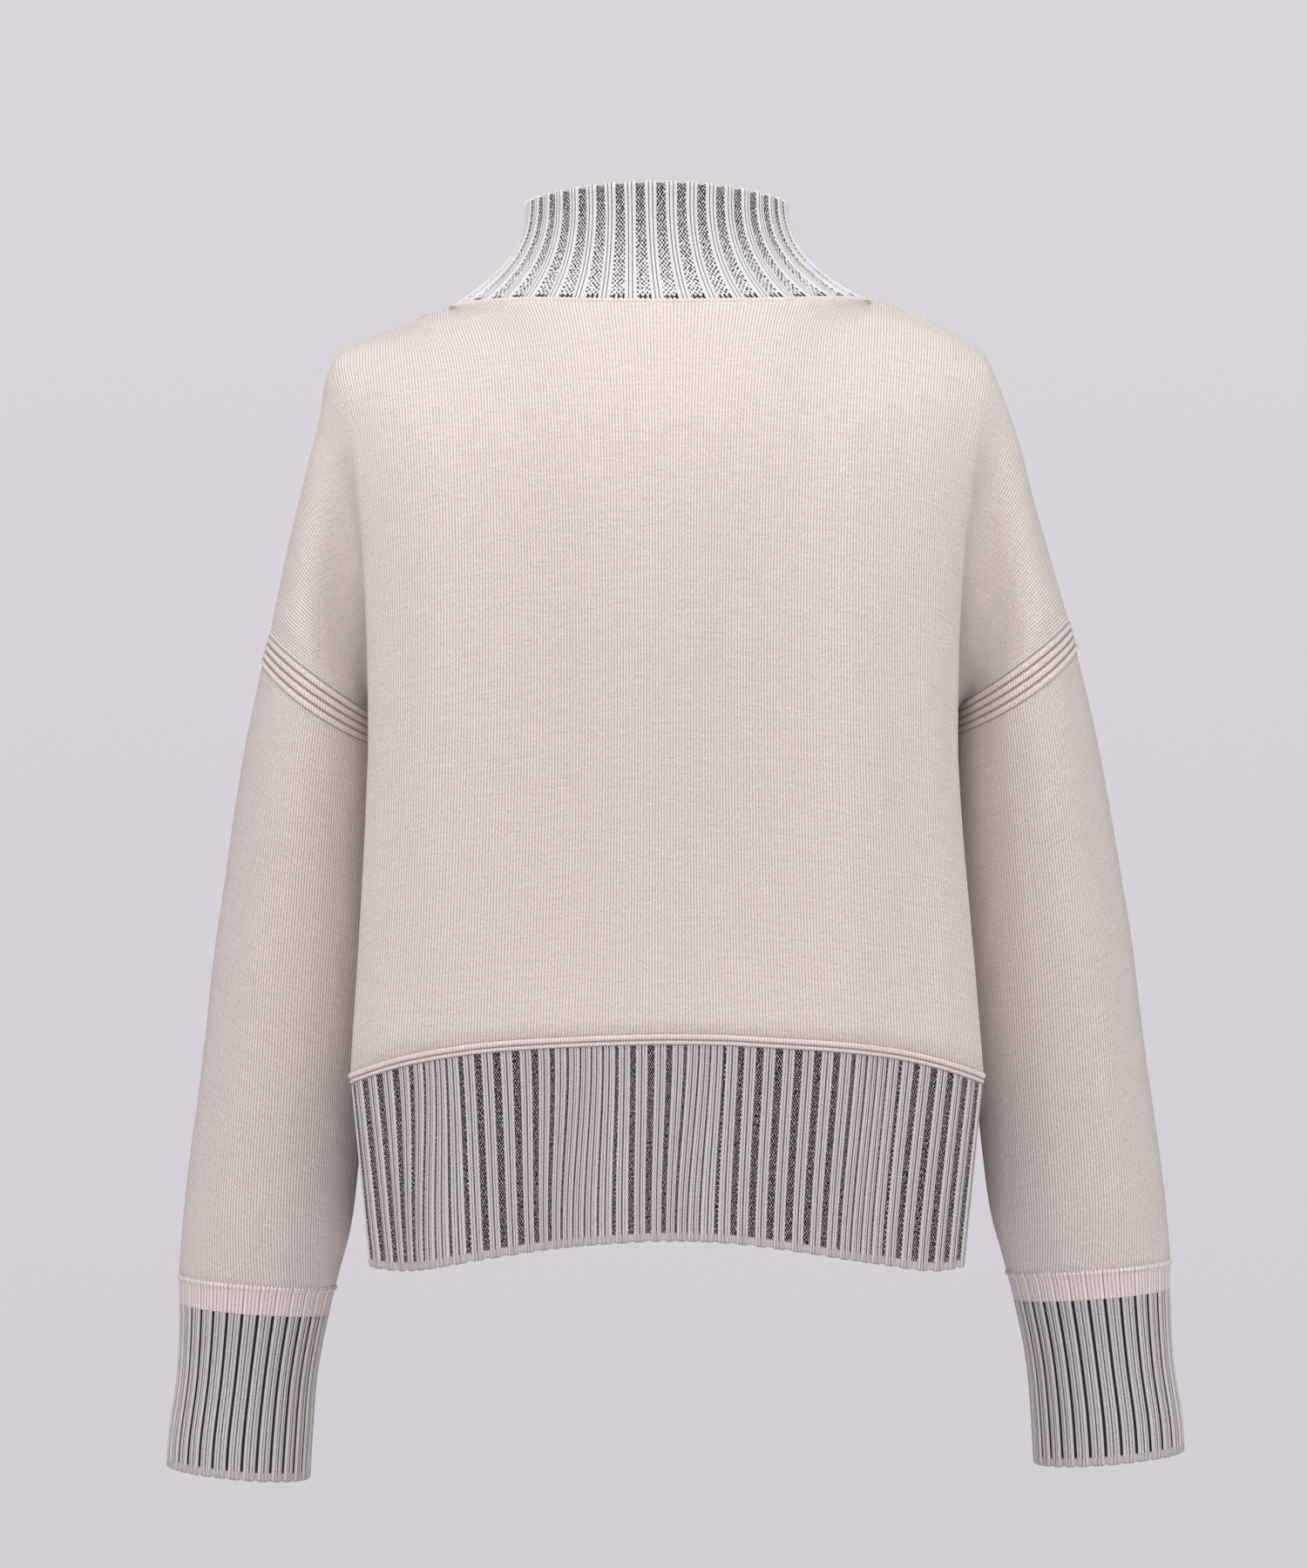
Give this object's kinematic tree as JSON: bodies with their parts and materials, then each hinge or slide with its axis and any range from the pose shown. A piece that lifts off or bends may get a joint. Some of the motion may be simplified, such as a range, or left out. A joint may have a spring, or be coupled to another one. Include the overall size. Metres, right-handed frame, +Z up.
{
  "type": "cropped knit sweater",
  "caption": "Cropped fine-knit sweater with a ribbed funnel collar, dropped shoulders, long sleeves and deep two-tone ribbed cuffs and hem, in its worn form.",
  "frame": {"origin": "the middle of the neck, at the height where the collar meets the shoulders, on the wearer's centre line", "axes": "+Z up, the wearer's front faces -Y, the wearer's left is +X"},
  "size_m": [0.6124, 0.2754, 0.7702],
  "materials": {
    "cream": "matte fine knit, stockinette face",
    "cream_edging": "matte fine knit, ridged and tubular",
    "pale_grey_rib": "matte raised rib, cream ribs over pale grey valleys",
    "two_tone_rib": "matte raised rib, cream ribs over dark grey speckled valleys"
  },
  "bodies": {
    "root": {"back_panel": "cream", "front_panel": "cream", "sleeve_left": "cream", "sleeve_right": "cream", "armhole_band_left": "cream_edging", "armhole_band_right": "cream_edging", "collar_seam": "cream_edging", "hem_welt": "cream_edging", "cuff_band_left": "cream_edging", "cuff_band_right": "cream_edging", "collar": "pale_grey_rib", "hem_rib": "two_tone_rib", "cuff_rib_left": "two_tone_rib", "cuff_rib_right": "two_tone_rib"}
  },
  "joints": []
}
